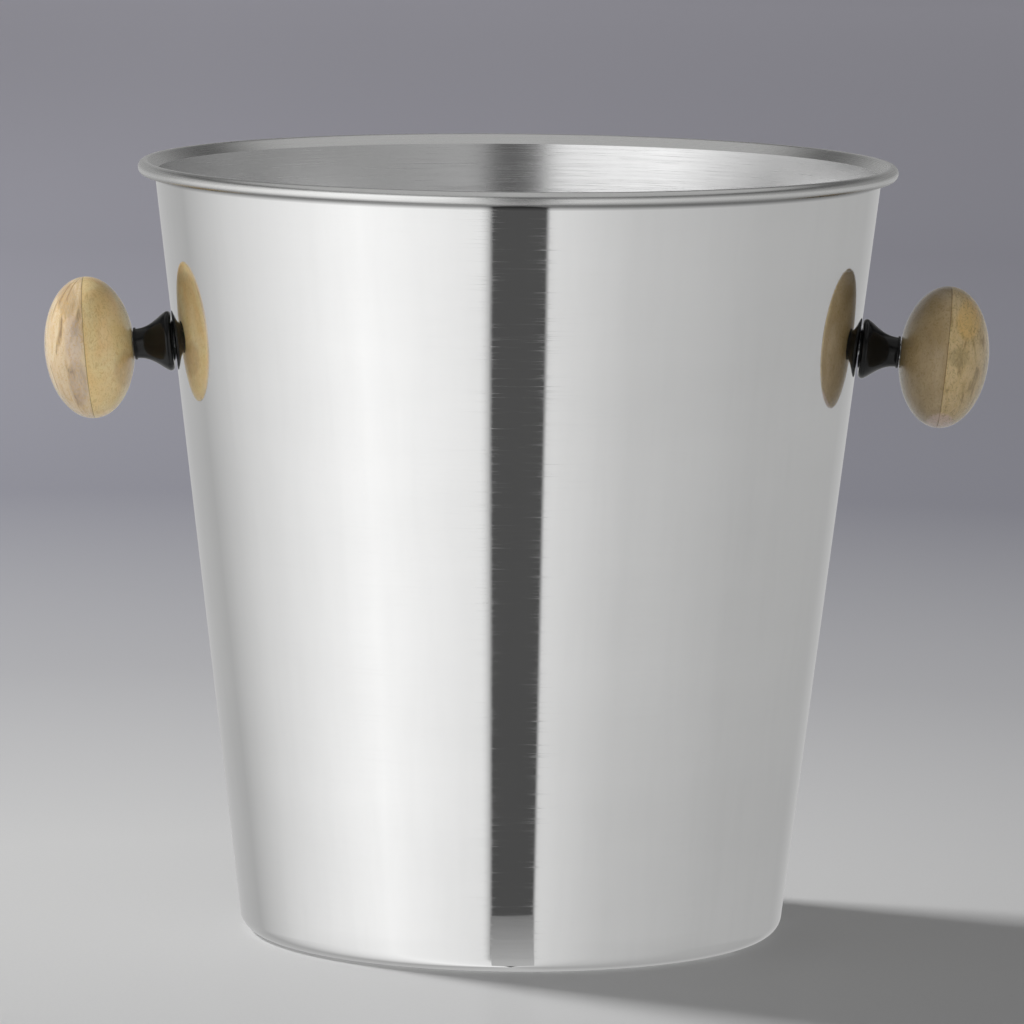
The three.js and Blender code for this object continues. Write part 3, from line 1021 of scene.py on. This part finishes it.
def studio_world():
    """Soft cards all round, darker above, with a narrow dark gap where the camera looks through.

    Mirror-like surfaces see the cards, diffuse ones a plain light and the camera a plain backdrop.
    """
    world = bpy.data.worlds.new("studio")
    bpy.context.scene.world = world
    world.use_nodes = True
    tree = world.node_tree
    background = tree.nodes["Background"]
    place = add_node(tree, "ShaderNodeTexCoord")
    split = add_node(tree, "ShaderNodeSeparateXYZ")
    tree.links.new(place.outputs["Generated"], split.inputs[0])
    toward = math_node(tree, "MULTIPLY", split.outputs["Y"], -1.0)
    heading = math_node(tree, "ARCTAN2", split.outputs["X"], toward)
    turn = remap(tree, heading, 0, 1, -math.pi, math.pi)
    stops = [((degrees + 180) / 360, (light,) * 3) for degrees, light in CARDS]
    cards = colour_ramp(tree, turn, stops)

    height = split.outputs["Z"]
    high = remap(tree, height, 0, 1, -HIGH_SPAN, HIGH_SPAN)
    right = between_headings(tree, heading, 0, 1, RIGHT_HEADINGS)
    round_left = between_headings(tree, heading, SIDE_CARD_HIGH, LEFT_CARD_HIGH, SIDE_HEADINGS)
    change = math_node(tree, "MULTIPLY", right, RIGHT_CARD_HIGH - LEFT_CARD_HIGH)
    upper = math_node(tree, "ADD", round_left, change)
    rise = math_node(tree, "MULTIPLY", high, math_node(tree, "SUBTRACT", upper, 1.0))
    upper_share = math_node(tree, "ADD", 1.0, rise)
    sky = between_heights(tree, height, 1, SKY_LEVEL, SKY_START, SKY_FULL)
    low = between_heights(tree, height, LOW_CARD_SHARE, 1, LOW_CARD_START, LOW_CARD_END)
    share = math_node(tree, "MULTIPLY", math_node(tree, "MULTIPLY", upper_share, sky), low)
    lit = add_node(tree, "ShaderNodeVectorMath", operation="SCALE")
    tree.links.new(cards, lit.inputs[0])
    tree.links.new(share, lit.inputs["Scale"])

    overhead = between_heights(tree, height, 0, 1, SKY_FULL, CEILING_START)
    all_round = mix_colour(tree, overhead, lit.outputs["Vector"], (CEILING,) * 3)

    rays = add_node(tree, "ShaderNodeLightPath")
    low_down = window(tree, math_node(tree, "ARCSINE", height), *FILL_HEIGHTS, FILL_EDGE)
    in_front = window(tree, heading, *FRONT_FILL_HEADINGS, FRONT_FILL_EDGE)
    fill = math_node(tree, "ADD", FILL, math_node(tree, "MULTIPLY", in_front, FRONT_FILL))
    soft = math_node(tree, "ADD", AMBIENT, math_node(tree, "MULTIPLY", low_down, fill))
    even = mix_colour(tree, rays.outputs["Is Diffuse Ray"], all_round, soft)
    seen = mix_colour(tree, rays.outputs["Is Camera Ray"], even, BACKDROP)
    tree.links.new(seen, background.inputs["Color"])


def aim(thing, position, target):
    thing.location = position
    thing.rotation_euler = (Vector(target) - Vector(position)).to_track_quat("-Z", "Y").to_euler()


def key_light():
    data = bpy.data.lights.new("key", "AREA")
    data.shape = "SQUARE"
    data.size = KEY_SIZE
    data.energy = KEY_POWER
    light = bpy.data.objects.new("key", data)
    bpy.context.scene.collection.objects.link(light)
    azimuth, elevation = math.radians(KEY_AZIMUTH), math.radians(KEY_ELEVATION)
    position = Vector((
        -math.sin(azimuth) * math.cos(elevation),
        -math.cos(azimuth) * math.cos(elevation),
        math.sin(elevation),
    )) * KEY_DISTANCE
    aim(light, position, (0, 0, KEY_TARGET_HEIGHT))
    light.visible_glossy = False
    light.visible_camera = False


def add_camera():
    data = bpy.data.cameras.new("camera")
    data.sensor_width = SENSOR_WIDTH
    data.lens = CAMERA_LENS
    data.clip_start, data.clip_end = CAMERA_CLIP
    camera = bpy.data.objects.new("camera", data)
    bpy.context.scene.collection.objects.link(camera)
    elevation = math.radians(CAMERA_ELEVATION)
    spot = Matrix.Translation((
        0,
        -CAMERA_DISTANCE * math.cos(elevation),
        BUCKET_HEIGHT * MM / 2 + CAMERA_DISTANCE * math.sin(elevation),
    ))
    turn = Matrix.Rotation(-math.radians(CAMERA_HEADING), 4, "Z")
    tilt = Matrix.Rotation(math.pi / 2 - math.radians(CAMERA_PITCH), 4, "X")
    roll = Matrix.Rotation(math.radians(CAMERA_ROLL), 4, "Z")
    round_bucket = Matrix.Rotation(math.radians(CAMERA_AZIMUTH), 4, "Z")
    camera.matrix_world = round_bucket @ spot @ turn @ tilt @ roll
    bpy.context.scene.camera = camera


studio_world()
key_light()
add_camera()
bpy.context.scene.view_settings.view_transform = "Standard"
